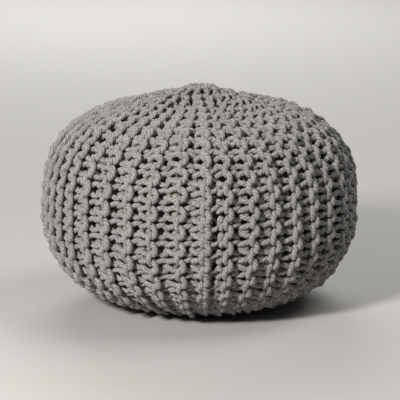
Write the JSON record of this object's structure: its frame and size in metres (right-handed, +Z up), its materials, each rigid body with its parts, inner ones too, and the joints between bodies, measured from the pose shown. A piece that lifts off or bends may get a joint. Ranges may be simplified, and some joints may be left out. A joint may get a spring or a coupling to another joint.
{
  "type": "knitted pouf ottoman",
  "caption": "Round filled floor pouf in a chunky knitted cotton rope cover, ribbed from the gathered top to the flat foot, laced up one side seam; used as a low seat or footrest.",
  "frame": {"origin": "middle of the flat foot, on the floor", "axes": "+Z up through the gathered top, -Y towards the laced side seam, +X to the right of the seam as seen from in front of it"},
  "size_m": [0.5078, 0.5075, 0.356],
  "materials": {
    "cotton_yarn": "heathered grey cotton cord, matt, knitted in garter stitch",
    "liner_cloth": "plain undyed cotton of the inner bag, seen only between the stitches"
  },
  "bodies": {
    "root": {"knit_cover": "cotton_yarn", "seam_lacing": "cotton_yarn", "top_gather": "cotton_yarn"}
  },
  "joints": []
}
